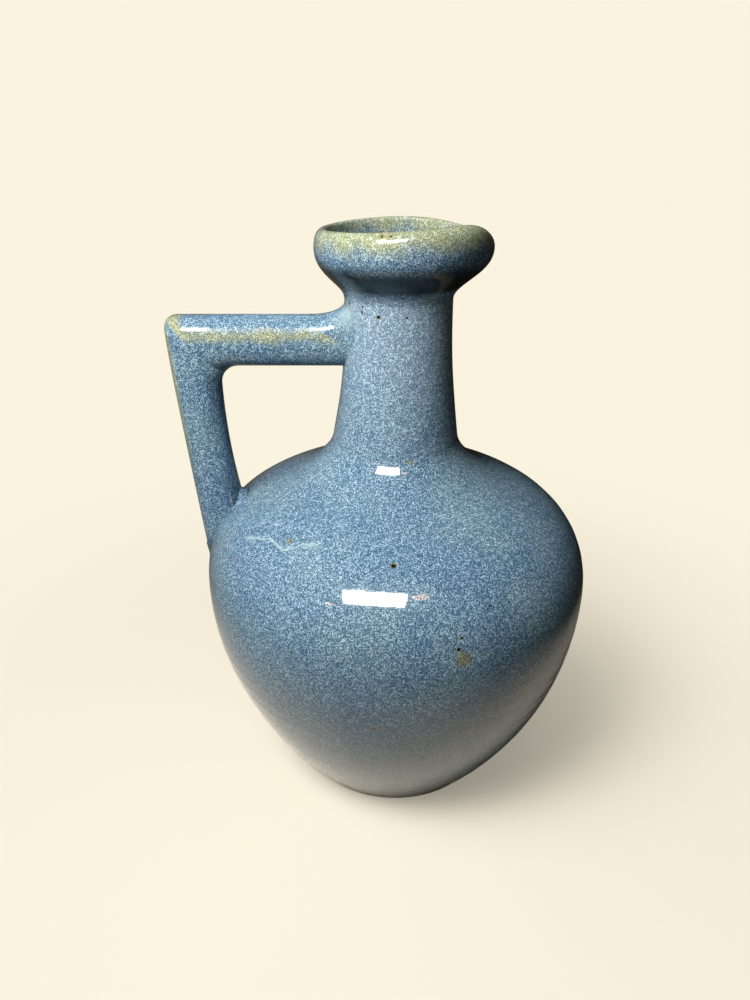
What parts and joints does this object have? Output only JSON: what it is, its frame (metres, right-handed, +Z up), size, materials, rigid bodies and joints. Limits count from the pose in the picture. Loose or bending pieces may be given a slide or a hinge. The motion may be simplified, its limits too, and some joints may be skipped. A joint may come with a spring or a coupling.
{
  "type": "ceramic pitcher",
  "caption": "Glazed ceramic pitcher with a round belly, narrow neck, flared mouth with a pulled lip, and an angular handle.",
  "frame": {"origin": "centre of the foot ring on the table", "axes": "+Z up the pitcher's axis; +X towards the pouring lip; the handle stands on -X"},
  "size_m": [0.171, 0.162, 0.2395],
  "materials": {
    "glaze_body": "glossy mottled blue reactive glaze",
    "glaze_rim": "glossy blue glaze, thinning to olive on the edges"
  },
  "bodies": {
    "root": {"body": "glaze_body", "neck_joint_coil": "glaze_body", "neck": "glaze_body", "mouth_cup": "glaze_rim", "handle_arm": "glaze_rim", "handle_grip": "glaze_body", "handle_neck_coil": "glaze_rim", "handle_shoulder_coil": "glaze_body"}
  },
  "joints": []
}
